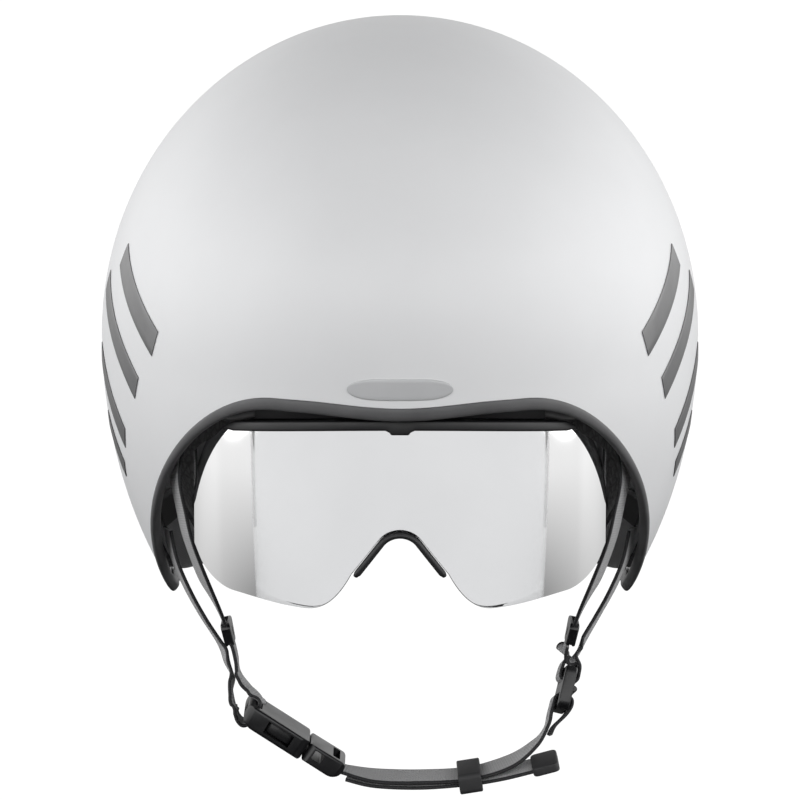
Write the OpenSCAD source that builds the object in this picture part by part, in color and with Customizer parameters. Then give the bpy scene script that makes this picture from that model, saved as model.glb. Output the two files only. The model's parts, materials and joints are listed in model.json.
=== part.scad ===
// Time-trial cycling helmet: smooth shell with side lobes, pull-off clear visor,
// dial-adjusted nape cradle and a side-release chin strap.
// Millimetres. +Z is up, the face looks along -Y, and the origin is on the head's
// vertical axis at the level of the headform's reference plane.

/* [Shell] */
// Overall width of the shell
shell_w = 226; // [214:1:236]
// Reach of the shell in front of its centre
shell_front = 156; // [150:1:162]
// Reach of the shell behind its centre, before the tail
shell_rear = 122; // [116:1:128]
// Length that the tail adds
tail_len = 26; // [16:1:30]
// Height of the crown above the origin
crown_z = 142; // [138:1:150]
// Vertical half-axis of the part below the widest line
shell_low = 151; // [146:1:156]
// Wall of the shell
shell_t = 1.6; // [1.2:0.1:2]
// Part of the reach that the brow tucks in
brow_tuck = 0.04; // [0:0.005:0.06]

/* [Head] */
// Breadth of the head that it fits
head_w = 152; // [146:1:156]
// Length of the head that it fits
head_l = 195; // [188:1:200]
// Height of the head above the origin
head_h = 103; // [98:1:106]
// Room for pads between the head and the liner
pad_gap = 4.5; // [4:0.1:5]
// Depth of the ear pockets in the liner
ear_pocket = 9; // [4:0.5:11]

/* [Visor] */
// Thickness of the lens
lens_t = 2; // [1.6:0.1:2.4]
// Distance from the origin forward to the middle of the lens
lens_front = 113.5; // [112:0.1:114]
// Half width of the lens
lens_half = 75; // [70:0.5:76]
// Height of the lens's top edge
lens_top = 7.8; // [6:0.1:7.8]
// Height of the lowest points of the lens
lens_low = -60.5; // [-64:0.5:-56]
// Half width of the nose arch
nose_half = 17.5; // [14:0.5:18]
// Height of the nose arch
nose_rise = 16; // [12:0.5:22]

/* [Straps] */
// Width of the webbing
web_w = 15; // [12:0.5:16]
// Thickness of the webbing
web_t = 1.3; // [1:0.1:1.5]
// Slope of the buckle below level, in degrees
buckle_slope = 33; // [30:1:36]

/* [Fit dial] */
// Pitch radius of the pinion
pinion_r = 4; // [4:0.5:4]
// Number of pinion teeth
pinion_teeth = 10; // [10:1:10]
// Diameter of the dial knob
knob_d = 28; // [26:1:30]

/* [Hidden] */
centre = [0, 30, 22];
shell_up = crown_z - centre.z;
liner_gap = 1.1;
around = 72;
shell_rows = 16;
liner_rows = 12;
pad_t = 3.9;
head_low = 150;
lens_mid_y = -38;
lens_ax = 79;
lens_by = lens_front + lens_mid_y;
dial_z = -10.5;
buckle_at = [-58, -27, -111.5];
tooth_pitch = 2 * PI * pinion_r / pinion_teeth;
white = [0.93, 0.94, 0.95];
trim_grey = [0.33, 0.33, 0.34];
dark = [0.13, 0.13, 0.14];
pad_grey = [0.22, 0.22, 0.23];
web_grey = [0.3, 0.3, 0.31];
graphite = [0.3, 0.3, 0.31];
steel = [0.7, 0.7, 0.72];

// ---- helpers ----
function smooth(t) = let (u = min(1, max(0, t))) u * u * (3 - 2 * u);
function mix(a, b, w) = a + (b - a) * w;
function fold(f) = let (g = (f % 360 + 360) % 360) g > 180 ? 360 - g : g;
function unit(v) = v / norm(v);

// Catmull-Rom curve through the points p, with n steps between neighbours
function knot(p, i) = p[min(len(p) - 1, max(0, i))];
function blend4(a, b, c, d, t) = 0.5 * (2 * b + (c - a) * t
    + (2 * a - 5 * b + 4 * c - d) * t * t + (3 * b - a - 3 * c + d) * t * t * t);
function curve(p, n) = concat([for (i = [0:len(p) - 2]) for (k = [0:n - 1])
    blend4(knot(p, i - 1), p[i], p[i + 1], knot(p, i + 2), k / n)], [p[len(p) - 1]]);

// A closed solid through rings of points that have the same even count.
// The ends are closed by pairing the two sides of a ring.
module loft(rings, ring_closed = false)
{
    n = len(rings[0]);
    m = len(rings);
    turns = ring_closed ? m - 1 : m - 2;
    sides = [for (i = [0:turns]) for (j = [0:n - 1])
        let (a = i * n + j, b = i * n + (j + 1) % n,
             c = ((i + 1) % m) * n + (j + 1) % n, d = ((i + 1) % m) * n + j)
        each [[a, b, c], [a, c, d]]];
    caps = ring_closed ? [] : [for (k = [0:n / 2 - 2])
        let (a = k, b = k + 1, c = n - 2 - k, d = n - 1 - k, e = (m - 1) * n)
        each [[d, c, b], [d, b, a], [e + a, e + b, e + c], [e + a, e + c, e + d]]];
    polyhedron([for (r = rings) each r], concat(sides, caps), convexity = 6);
}

// A closed bowl: rings from an outer pole down over the edge and up to an inner pole
module bowl(rings, top, under)
{
    n = len(rings[0]);
    m = len(rings);
    sides = [for (i = [0:m - 2]) for (j = [0:n - 1])
        let (a = 1 + i * n + j, b = 1 + i * n + (j + 1) % n,
             c = 1 + (i + 1) * n + (j + 1) % n, d = 1 + (i + 1) * n + j)
        each [[a, b, c], [a, c, d]]];
    tops = [for (j = [0:n - 1]) [0, 1 + (j + 1) % n, 1 + j]];
    unders = [for (j = [0:n - 1])
        [1 + (m - 1) * n + j, 1 + (m - 1) * n + (j + 1) % n, 1 + m * n]];
    polyhedron(concat([top], [for (r = rings) each r], [under]),
        concat(tops, sides, unders), convexity = 6);
}

// ---- shell surface ----
// f is the angle round from the front, t the angle down from the crown
function aim(f, t) = [sin(t) * sin(f), -sin(t) * cos(f), cos(t)];
function soft_min(a, b) = -3 * ln(exp(-a / 3) + exp(-b / 3));
function shell_r(f, t) =
    let (d = aim(f, t), g = fold(f),
         e = 1 / sqrt(pow(d.x / (shell_w / 2), 2)
             + pow(d.y / (d.y < 0 ? shell_front : shell_rear), 2)
             + pow(d.z / (d.z > 0 ? shell_up : shell_low), 2)),
         tuck = g < 90 ? brow_tuck * smooth((t - 70) / 23) * pow(cos(g), 2) : 0,
         back = max(0, d.y * cos(4) + d.z * -sin(4)),
         r = e * (1 - tuck) + tail_len * pow(back, 6))
    d.y > 0.3 ? soft_min(r, (136 - 0.16 * (r * d.z)) / d.y) : r;
// Angle down to the top edge of the rim trim
function rim(f) = let (g = fold(f)) 92.4 + 0.7 * (1 - smooth(g / 14))
    + 44.6 * smooth((g - 18) / 68) - 31 * smooth((g - 92) / 70);
function shell_edge(f) = rim(f) + 1.4;
function lip(f) = rim(f) + 1.9;
function on_shell(f, t, off) = centre + (shell_r(f, t) + off) * aim(f, t);

// ---- liner surface ----
function ray(d, a, b, c) =
    let (p = pow(d.x / a, 2) + pow(d.y / b, 2) + pow(d.z / c, 2),
         q = centre.y * d.y / (b * b) + centre.z * d.z / (c * c),
         k = pow(centre.y / b, 2) + pow(centre.z / c, 2) - 1)
    (-q + sqrt(q * q - p * k)) / p;
function inner_r(f, t) =
    let (d = aim(f, t), g = fold(f), a = head_w / 2 + pad_gap, b = head_l / 2 + pad_gap,
         up = ray(d, a, b, head_h + pad_gap),
         r = centre.z + up * d.z >= 0 ? up : ray(d, a, b, head_low))
    r + ear_pocket * exp(-pow((g - 76) / 15, 2) - pow((t - 116) / 11, 2));
function on_inner(f, t, off) = centre + (inner_r(f, t) - off) * aim(f, t);
function liner_edge(f) = let (g = fold(f)) 91.5 + 44.5 * smooth((g - 28) / 62)
    - 40 * smooth((g - 92) / 70);
function liner_inner_edge(f) = let (g = fold(f)) liner_edge(f)
    + 5 * smooth((g - 60) / 30) * (1 - smooth((g - 110) / 40)) - 2 * smooth((g - 135) / 25);
// A point on the liner's face between the outer edge (w = 0) and the inner edge (w = 1)
function on_face(f, w, down) =
    let (a = liner_edge(f), b = liner_inner_edge(f), t = mix(a, b, w) + down,
         r = mix(shell_r(f, a) - shell_t - liner_gap, inner_r(f, b), w))
    centre + r * aim(f, t);

// A slab over the shell or liner between two angles each way
module inner_slab(f0, f1, nf, t0, t1, nt, near, far)
{
    loft([for (i = [0:nf]) let (f = mix(f0, f1, i / nf))
        concat([for (k = [nt:-1:0]) on_inner(f, mix(t0, t1, k / nt), near)],
               [for (k = [0:nt]) on_inner(f, mix(t0, t1, k / nt), far)])]);
}
module face_slab(f0, f1, nf, w0, w1, nw, near, far)
{
    loft([for (i = [0:nf]) let (f = mix(f0, f1, i / nf))
        concat([for (k = [nw:-1:0]) on_face(f, mix(w0, w1, k / nw), far)],
               [for (k = [0:nw]) on_face(f, mix(w0, w1, k / nw), near)])]);
}

// ---- shell, liner and trim ----
module outer_shell()
{
    steps = concat([for (i = [1:shell_rows - 2]) i / (shell_rows - 1)], [0.967, 1]);
    outer = [for (s = steps) [for (j = [0:around - 1]) let (f = j * 360 / around)
        on_shell(f, s * shell_edge(f), 0)]];
    inner = [for (i = [shell_rows - 1:-1:0]) [for (j = [0:around - 1]) let (f = j * 360 / around)
        on_shell(f, steps[i] * shell_edge(f), -shell_t)]];
    color(white) bowl(concat(outer, inner), on_shell(0, 0, 0), on_shell(0, 0, -shell_t));
}

module eps_liner()
{
    steps = [for (i = [1:liner_rows]) i / liner_rows];
    outer = [for (s = steps) [for (j = [0:around - 1]) let (f = j * 360 / around)
        on_shell(f, s * liner_edge(f), -shell_t - liner_gap)]];
    inner = [for (i = [liner_rows - 1:-1:0]) [for (j = [0:around - 1]) let (f = j * 360 / around)
        on_inner(f, steps[i] * liner_inner_edge(f), 0)]];
    color(dark) bowl(concat(outer, inner),
        on_shell(0, 0, -shell_t - liner_gap), on_inner(0, 0, 0));
}

// U-shaped trim over the shell's edge at the angle f
function trim_ring(f) =
    let (m = rim(f), e = shell_edge(f), l = lip(f), a = m - 0.3, b = -shell_t)
    [on_shell(f, m + 0.1, 1), on_shell(f, m + 0.9, 1.2), on_shell(f, l - 0.2, 0.9),
     on_shell(f, l, -shell_t / 2), on_shell(f, l - 0.2, b - 1.4), on_shell(f, a, b - 1.4),
     on_shell(f, a, b - 0.5), on_shell(f, m + 0.6, b - 0.5), on_shell(f, e + 0.1, b - 0.5),
     on_shell(f, e + 0.1, 0.3), on_shell(f, m + 0.6, 0.3), on_shell(f, m + 0.1, 0.3)];
module trim(f0, f1)
{
    n = round((f1 - f0) / 5);
    loft([for (i = [0:n]) let (r = trim_ring(f0 + 5 * i)) [for (k = [11:-1:0]) r[k]]]);
}
module face_trim()
{
    color(trim_grey) trim(-95, 95);
}
module nape_trim()
{
    color(trim_grey) trim(100, 260);
}

// Blank oval badge on the brow
module brow_badge()
{
    wide = 7.2;
    high = 1.45;
    mid = 90.6;
    color([0.8, 0.81, 0.82]) loft([for (i = [-11:11])
        let (f = wide * sin(i * 90 / 11.5), h = high * sqrt(1 - pow(f / wide, 4)))
        [on_shell(f, mid + h, 0.5), on_shell(f, mid - h, 0.5),
         on_shell(f, mid - h, 0.1), on_shell(f, mid + h, 0.1)]]);
}

// One plain swept stripe from its front lower end, long degrees round the side
module stripe(f0, t0, long, wide)
{
    n = ceil(long / 2.5);
    loft([for (i = [0:n]) let (w = i / n, f = f0 + long * w,
              t = t0 - 0.7 * long * w, lean = 2.2)
        [on_shell(f + lean * 0.5, t + wide / 2, 0.38), on_shell(f - lean * 0.5, t - wide / 2, 0.38),
         on_shell(f - lean * 0.5, t - wide / 2, 0.1), on_shell(f + lean * 0.5, t + wide / 2, 0.1)]]);
}
module stripes()
{
    stripe(44.2, 86.8, 20, 4.2);
    stripe(51.8, 95.2, 24, 4);
    stripe(61.6, 105.8, 19, 3.9);
    stripe(67.5, 112.6, 11, 3.3);
}
module stripes_right()
{
    color(graphite) stripes();
}
module stripes_left()
{
    color(graphite) mirror([1, 0, 0]) stripes();
}

// ---- visor ----
// A point on the lens's front face at the angle s across, moved out by off
function on_lens(s, off, z) = [(lens_ax + off) * sin(s),
    lens_mid_y - (lens_by + off) * cos(s) + 0.0012 * pow(min(0, z + 12), 2), z];
function lens_s(x) = asin(x / lens_ax);
// Drop of the nose arch below its top: an arc of 10.4 mm, then straight legs
function nose_drop(a) = a < 8.2 ? 10.4 - sqrt(108.16 - a * a) : 4 + 1.28 * (a - 8.2);
function nose_z(a) = lens_low + 13.3 + nose_rise - nose_drop(a);
function lens_bottom(x) = let (a = abs(x), h = nose_half)
    a < h ? nose_z(a)
    : lens_low + (nose_z(h) - lens_low) * pow(1 - min(1, (a - h) / 17), 2.4) + 3.5 * smooth((a - 33) / 34)
        + 11 * pow(max(0, a - 60) / (lens_half - 60), 2);
function lens_upper(x) = let (a = abs(x)) lens_top
    - 3.8 * pow(a / 60, 2) - 9 * smooth((a - 58) / (lens_half - 58));
half_x = concat([for (k = [0:9]) nose_half * k / 9],
    [for (k = [1:11]) mix(nose_half, lens_half, k / 11)]);
all_x = concat([for (i = [len(half_x) - 1:-1:1]) -half_x[i]], half_x);

module visor_lens()
{
    rows = 8;
    color([0.85, 0.88, 0.9, 0.5]) loft([for (x = all_x)
        let (s = lens_s(x), lo = lens_bottom(x), hi = lens_upper(x))
        concat([for (k = [0:rows]) on_lens(s, 0, mix(lo, hi, k / rows))],
               [for (k = [rows:-1:0]) on_lens(s, -lens_t, mix(lo, hi, k / rows))])]);
}

frame_s = concat([-52, -47, -42, -37, -32, -27, -22, -17, -12, -7, -3, -2.4, -1.4],
    [0, 1.4, 2.4, 3, 7, 12, 17, 22, 27, 32, 37, 42, 47, 52]);
module visor_frame()
{
    color(dark) loft([for (s = frame_s)
        let (top = lens_upper(lens_ax * sin(s)) + 0.8, low = top - (abs(s) < 2 ? 5.2 : 3.6))
        [on_lens(s, 1.05, low), on_lens(s, 1.05, top), on_lens(s, -8.6, top),
         on_lens(s, -8.6, top - 0.6), on_lens(s, 0.25, top - 0.6), on_lens(s, 0.25, low)]]);
}
module magnet_row(z, h, drop)
{
    for (s = [-20, 0, 20])
        translate(on_lens(s, -5.4, z - (s == 0 ? 0 : drop))) cylinder(d = 5, h = h, $fn = 32);
}
module visor_magnets()
{
    color(steel) magnet_row(lens_top - 1.7, 1.8, 0.9);
}
// A point on the nose arch, moved in from the lens's edge by w
function in_arch(x, w) =
    let (m = abs(x) < 8.2 ? -x / sqrt(108.16 - x * x) : -1.28 * sign(x))
    [x, nose_z(abs(x))] + w / sqrt(1 + m * m) * [m, -1];
module nose_bumper()
{
    color(dark) loft([for (k = [-9:9]) let (x = nose_half * k / 9, o = in_arch(x, 0.3), i = in_arch(x, 2.9))
        [on_lens(lens_s(i[0]), 1.2, i[1]), on_lens(lens_s(o[0]), 0.6, o[1]),
         on_lens(lens_s(o[0]), -4.2, o[1]), on_lens(lens_s(i[0]), -6, i[1])]]);
}
module visor_dock()
{
    color(dark) loft([for (i = [-9:9]) let (s = i * 44 / 9)
        [on_lens(s, -1.2, 11.5), on_lens(s, -1.2, 17.4),
         on_lens(s, -9.2, 17.4), on_lens(s, -9.2, 11.5)]]);
    // Gasket that closes the gap above the visor's frame
    color(dark) loft([for (i = [-12:12]) let (s = i * 42 / 12, z = lens_upper(lens_ax * sin(s)) + 1.4)
        [on_lens(s, -1.3, z), on_lens(s, -1.3, 12), on_lens(s, -2.3, 12), on_lens(s, -2.3, z)]]);
}
module dock_magnets()
{
    color(steel) magnet_row(9.4, 2, 0);
}

// ---- lining and pads ----
module lobe_lining_right()
{
    color([0.42, 0.42, 0.43]) face_slab(56, 92, 9, 0.14, 0.9, 3, 0.25, 1.05);
}
module lobe_lining_left()
{
    mirror([1, 0, 0]) lobe_lining_right();
}
module brow_pad()
{
    color(pad_grey) inner_slab(-38, 38, 12, 79, 90.5, 3, 1, pad_t);
}
// A long pad over the crown: a runs from the front to the back, b from side to side
function over(a, b) = [sin(b), sin(a) * cos(b), cos(a) * cos(b)];
function on_crown(a, b, off) = let (d = over(a, b))
    centre + (ray(d, head_w / 2 + pad_gap, head_l / 2 + pad_gap, head_h + pad_gap) - off) * d;
module crown_pad()
{
    color(pad_grey) loft([for (a = [-58:6:44])
        [on_crown(a, 9, pad_t), on_crown(a, 9, 0.9), on_crown(a, 3, 0.9), on_crown(a, -3, 0.9),
         on_crown(a, -9, 0.9), on_crown(a, -9, pad_t), on_crown(a, -3, pad_t),
         on_crown(a, 3, pad_t)]]);
}
module temple_pad_right()
{
    color(pad_grey) inner_slab(50, 84, 8, 78, 93, 3, 1, pad_t);
}
module temple_pad_left()
{
    mirror([1, 0, 0]) temple_pad_right();
}
module cheek_pad_right()
{
    color(pad_grey) inner_slab(78, 104, 6, 129, 138, 3, 1, pad_t);
}
module cheek_pad_left()
{
    mirror([1, 0, 0]) cheek_pad_right();
}

// ---- webbing and its fittings ----
// Flat strap along the points p, with its width along the directions w
function strap_rings(p, w, n, wide, thick) =
    let (q = curve(p, n), v = curve(w, n))
    [for (i = [0:len(q) - 1])
        let (t = unit(knot(q, i + 1) - knot(q, i - 1)),
             u = unit(v[i] - (v[i] * t) * t) * wide / 2,
             z = cross(unit(u), t) * thick / 2)
        [q[i] - u - z, q[i] + u - z, q[i] + u + z, q[i] - u + z]];
module strap(p, w, n = 3, wide = web_w, thick = web_t)
{
    loft(strap_rings(p, w, n, wide, thick));
}
// The same block between the liner's face and the rim, near the angle f
module anchor(f)
{
    loft([for (i = [-1:1]) let (g = f + 3.2 * i, a = liner_edge(g) + 1.9, b = a + 1)
        [on_shell(g, b, -7.5), on_shell(g, a, -7.5),
         on_shell(g, a, -14), on_shell(g, b, -14)]]);
}
module front_anchor_right()
{
    color(dark) anchor(44);
}
module front_anchor_left()
{
    mirror([1, 0, 0]) front_anchor_right();
}
module rear_anchor_right()
{
    color(dark) anchor(65);
}
module rear_anchor_left()
{
    mirror([1, 0, 0]) rear_anchor_right();
}
// A point of the ladder lock's own frame: x across its thickness, z along it
function lock_at(x, z) = [61.6 + 0.9703 * x + 0.2313 * z, -21 + 0.2924 * z,
    -106.4 - 0.2419 * x + 0.9279 * z];
lock_flat = [-0.07, 0.96, -0.28];
// A point of the buckle's own frame
function clip_at(x, z) = [-58 + 0.8387 * x + 0.5446 * z, -27, -111.5 - 0.5446 * x + 0.8387 * z];
front_lean = [0.27, 0.96, 0];
rear_lean = [0.22, 0.97, 0];
across = [0, 1, 0];
front_p = [[80.5, -52, -8.5], [82.2, -50.5, -21], [80.3, -46.5, -34], [77.6, -42, -47],
    [72, -34, -64], [67.3, -24.8, -75.9]];
module webbing_front_right()
{
    color(web_grey) strap(front_p, [front_lean, front_lean, front_lean, front_lean, front_lean,
        [0.1, 1, 0]]);
}
module webbing_front_left()
{
    mirror([1, 0, 0]) webbing_front_right();
}
rear_p = [[86.8, -11.5, -47], [84.5, -11.5, -58], [79.5, -11, -70], [73.8, -11, -80.5]];
module webbing_rear_right()
{
    color(web_grey) strap(concat(rear_p, [[69, -13, -88.5], [66.8, -15.6, -92.6], lock_at(0.9, 12.2),
        lock_at(2.9, 9.5), lock_at(3.3, 6.5), lock_at(3.2, 4.2), lock_at(2.2, 3.2), lock_at(0.3, 3.1)]),
        concat([for (i = [0:4]) rear_lean], [[0.1, 1, 0]], [for (i = [0:5]) lock_flat]), 2);
}
module webbing_rear_left()
{
    color(web_grey) strap([for (v = concat(rear_p, [[67.6, -12.6, -90], [64.9, -15, -95.5],
        [63.1, -18.5, -100.5], [63.1, -22.5, -105.5], [62.4, -25.8, -110]])) [-v.x, v.y, v.z]],
        [for (i = [0:8]) i < 6 ? [-0.22, 0.97, 0] : across], 2);
}
// Divider that joins the front and rear webbing: a rounded wedge with a finger dimple
module divider()
{
    difference()
    {
        rotate([90, 0, 90]) linear_extrude(height = 3.6, center = true) offset(r = 2, $fn = 24)
            polygon([[-8, 2.5], [8, 2.5], [5.5, -2.5], [-5.5, -2.5]]);
        translate([2.7, 0, 0]) sphere(d = 4, $fn = 32);
        translate([-2.7, 0, 0]) sphere(d = 4, $fn = 32);
    }
}
module divider_right()
{
    color(dark) translate([64.2, -20, -84.5]) rotate([0, 12, 0]) divider();
}
module divider_left()
{
    mirror([1, 0, 0]) divider_right();
}
module webbing_lower_right()
{
    color(web_grey) strap([[61.9, -18.7, -92.7], lock_at(-1.6, 12.2), lock_at(-2.9, 9.5), lock_at(-3.3, 6.5),
        lock_at(-3.2, 4.2), lock_at(-2.2, 3.2), lock_at(-0.5, 3.1)],
        [across, lock_flat, lock_flat, lock_flat, lock_flat, lock_flat, lock_flat], 2);
}
module webbing_lower_left()
{
    color(web_grey) strap([[-62.4, -19.8, -89.6], [-61.2, -19.8, -95], [-60.6, -19.8, -100],
        [-58, -21.8, -104], [-54.3, -25, -107.6], clip_at(4.2, 4.2), clip_at(4.2, 2.2)],
        [across, across, across, across, across, across, across], 2);
    color(web_grey) strap([[-61.5, -26.9, -112.2], clip_at(-1.9, -3.2), clip_at(0.2, -4.9),
        clip_at(2.6, -5.5), clip_at(4.2, -4), clip_at(4.2, -1.6)],
        [across, across, across, across, across, across], 2);
}
// Ladder lock: a frame with two slots and a lifting lip
module ladder_lock()
{
    color(dark) translate([61.6, -21, -106.4]) rotate([-17, 14, 0]) difference()
    {
        union()
        {
            rotate([90, 0, 90]) linear_extrude(height = 4.6, center = true)
                offset(r = 2.5, $fn = 24) square([19, 11.5], center = true);
            translate([2.6, 0, 0]) rotate([90, 0, 0]) cylinder(d = 2.4, h = 19, center = true, $fn = 32);
        }
        for (z = [-3.4, 3.4])
            translate([0, 0, z]) cube([12, 16.4, 2.6], center = true);
    }
}

// ---- side-release buckle, laid along its own X axis ----
module at_buckle()
{
    translate(buckle_at) rotate([0, buckle_slope, 0]) children();
}
module round_block(x0, x1, wide, high, r)
{
    translate([(x0 + x1) / 2, 0, 0]) linear_extrude(height = high, center = true)
        offset(r = r, $fn = 24) square([x1 - x0 - 2 * r, wide - 2 * r], center = true);
}
module side_profile(p)
{
    rotate([90, 0, 0]) linear_extrude(height = 40, center = true) polygon(p);
}
module buckle_socket()
{
    color(dark) at_buckle() difference()
    {
        intersection()
        {
            round_block(0, 27, 25, 8, 3);
            side_profile([[0, -0.5], [1.2, -2.4], [3.2, -3.6], [6, -4.1], [28, -4.1], [28, 4.1],
                [1.5, 4.1], [0.3, 3.2], [0, 2]]);
        }
        translate([4.2, 0, 0]) cube([2.8, 16.4, 10], center = true);
        translate([18, 0, 0]) cube([20, 19.4, 4.8], center = true);
        for (y = [-11, 11])
            translate([15.4, y, 0]) cube([11, 6, 4.8], center = true);
        translate([17, 0, 4.4]) cylinder(d = 9, h = 1.2, center = true, $fn = 48);
    }
}
module buckle_plug()
{
    color(dark) at_buckle() difference()
    {
        union()
        {
            intersection()
            {
                round_block(27.4, 43.4, 22, 7.2, 2.5);
                side_profile([[27, -3.7], [38.6, -3.7], [41.6, -2.8], [43.5, -1], [43.5, 2], [42.4, 3.3],
                    [41, 3.7], [27, 3.7]]);
            }
            translate([19.5, 0, 0]) cube([17, 5, 3.6], center = true);
        }
        translate([38.6, 0, 0]) cube([3, 16.4, 10], center = true);
        translate([32.4, 0, 0.6]) cube([4, 30, 3.4], center = true);
        for (y = [-7.6, 7.6])
            translate([28.4, y, 0]) cube([3.4, 3.6, 4.4], center = true);
    }
}
module prong(side)
{
    at_buckle() translate([0, side * 7.6, 0]) union()
    {
        linear_extrude(height = 3.8, center = true)
            polygon([[9.6, side * -0.6], [10.6, side * -1.6], [28.9, side * -0.95],
                [28.9, side * 0.95], [21.4, side * 0.7], [19.4, side * 1.7],
                [11.6, side * 1.7], [9.6, side * 0.4]]);
        translate([28.9, 0, 0]) cylinder(r = 1.05, h = 3.8, center = true, $fn = 40);
    }
}
module prong_front()
{
    color(dark) prong(-1);
}
module prong_rear()
{
    color(dark) prong(1);
}

chin_p = [[-20.7, -27, -135.8], [-9, -28, -137.8], [8, -29, -138], [26, -30, -136.6],
    [41, -29, -132.2], [50.4, -27.4, -125.6], [54.8, -25.4, -119.6]];
flat = [0, 0.99, 0.13];
module chin_webbing()
{
    color(web_grey) strap(concat(chin_p, [lock_at(-3.4, -10), lock_at(-3.3, -6.5), lock_at(-3.2, -4.2),
        lock_at(-2.2, -3.2), lock_at(0, -3.1), lock_at(2.2, -3.2), lock_at(3.2, -4.2), lock_at(3.3, -6.5),
        lock_at(2, -9.8), [57.4, -25.2, -119.6], [55.8, -26, -122.6]]),
        concat([across], [for (i = [0:3]) flat], [[0, 1, 0], lock_flat], [for (i = [0:10]) lock_flat]));
}
module strap_tail()
{
    color(web_grey) strap([[-19.5, -27, -138.2], [-9, -28.2, -139.5], [8, -29.2, -139.9],
        [26, -30.2, -138.3], [38, -31, -136.2], [48.6, -32, -133.4]],
        [[0, 1, 0], flat, flat, flat, flat, flat]);
}
module end_tab()
{
    color(dark) translate([54, -32.4, -132]) rotate([7, -15, 0]) difference()
    {
        linear_extrude(height = 3.4, center = true) offset(r = 2, $fn = 24)
            square([6, 13], center = true);
        for (x = [-1.6, 0.4, 2.4])
            translate([x, 0, 1.8]) rotate([90, 0, 0]) cylinder(d = 1, h = 20, center = true, $fn = 16);
    }
}
module strap_keeper()
{
    color(dark) translate([26, -30.1, -137.4]) rotate([7, -9, 0]) rotate([90, 0, 90]) difference()
    {
        linear_extrude(height = 8.6, center = true) offset(r = 2, $fn = 24)
            square([15.6, 3.8], center = true);
        linear_extrude(height = 10, center = true) square([16.2, 4.2], center = true);
    }
}

// ---- nape cradle and fit dial ----
module cradle_housing()
{
    color(dark) difference()
    {
        translate([0, 103.4, dial_z]) rotate([90, 0, 0]) linear_extrude(height = 6.4, center = true)
            offset(r = 6, $fn = 32) square([48, 12], center = true);
        translate([0, 101.6, dial_z]) cube([80, 3.6, 18], center = true);
        translate([0, 104, dial_z]) rotate([90, 0, 0]) cylinder(d = 6.1, h = 12, center = true, $fn = 48);
    }
}
module cradle_cover()
{
    color(dark) translate([0, 98.9, dial_z]) rotate([90, 0, 0])
        linear_extrude(height = 2, center = true) offset(r = 6, $fn = 32)
        square([48, 12], center = true);
}
module nape_pad(side)
{
    color(pad_grey) translate([side * 14, 96, dial_z]) rotate([90, 0, 0])
        linear_extrude(height = 3.4, center = true) offset(r = 5, $fn = 32)
        square([12, 12], center = true);
}
module nape_pad_left()
{
    nape_pad(-1);
}
module nape_pad_right()
{
    nape_pad(1);
}
// Rack over or under the pinion, with its teeth towards the shaft
module rack(side)
{
    half = tooth_pitch / 2;
    mirror([side > 0 ? 0 : 1, 0, 0]) translate([0, 101.6, dial_z]) rotate([90, 0, 0])
        linear_extrude(height = 2.6, center = true) mirror([0, side > 0 ? 1 : 0, 0]) union()
        {
            translate([-3, pinion_r + 1]) square([47, 3.6]);
            for (k = [0:6])
                translate([(k - 0.5) * tooth_pitch + 0, pinion_r + 1.1])
                    polygon([[-0.62, 0], [-0.36, -1.6], [0.36, -1.6], [0.62, 0]]);
        }
}
module rack_left()
{
    color(dark) rack(-1);
}
module rack_right()
{
    color(dark) rack(1);
}
module dial_pinion()
{
    color(steel) translate([0, 101.6, dial_z]) rotate([90, 0, 0]) union()
    {
        linear_extrude(height = 2.6, center = true) union()
        {
            circle(r = pinion_r - 0.9, $fn = 48);
            for (k = [0:pinion_teeth - 1])
                rotate(k * 360 / pinion_teeth + 90)
                    polygon([[2.6, -0.62], [4.4, -0.34], [4.4, 0.34], [2.6, 0.62]]);
        }
        translate([0, 0, -5.6]) cylinder(d = 6, h = 9, center = true, $fn = 48);
    }
}
module dial_knob()
{
    color(dark) translate([0, 113, dial_z]) rotate([90, 0, 0]) difference()
    {
        rotate_extrude($fn = 96) polygon([[0, -5.6], [knob_d / 2 - 3, -5.6], [knob_d / 2 - 0.8, -4.4],
            [knob_d / 2, -2.6], [knob_d / 2, 4], [knob_d / 2 - 1, 5.2], [0, 5.2]]);
        translate([0, 0, 3.7]) cylinder(d = 6.04, h = 5, center = true, $fn = 48);
        for (a = [0:22.5:359])
            rotate(a) translate([knob_d / 2 + 1.2, 0, 0]) cylinder(d = 4.4, h = 20, center = true, $fn = 24);
        translate([0, 0, -6.4]) cylinder(d = knob_d - 12, h = 3, center = true, $fn = 64);
    }
}
module band_pin_right()
{
    color(dark) translate([77.8, 21, 2]) rotate([0, 90, 0]) cylinder(d = 8, h = 3, center = true, $fn = 40);
}
module band_pin_left()
{
    mirror([1, 0, 0]) band_pin_right();
}
// Band from the end of a rack round to its pin, in the right-hand side's sense
module band(side, z)
{
    color(dark) strap([for (v = [[44.9, 101.6, z], [48.6, 91, -11], [51, 79, -12.2], [58.8, 64, -12],
        [67.5, 44, -10], [73.2, 28, -3], [75.4, 20, 4]]) [side * v.x, v.y, v.z]],
        [[0, 0, 1], [0, 0, 1], [0, 0, 1], [0, 0.1, 1], [0, 0.4, 1], [0, 0.6, 1], [0, 1, 0.6]], 3, 8, 1.2);
}
module band_left()
{
    band(-1, dial_z + 6.8);
}
module band_right()
{
    band(1, dial_z - 6.8);
}

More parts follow.
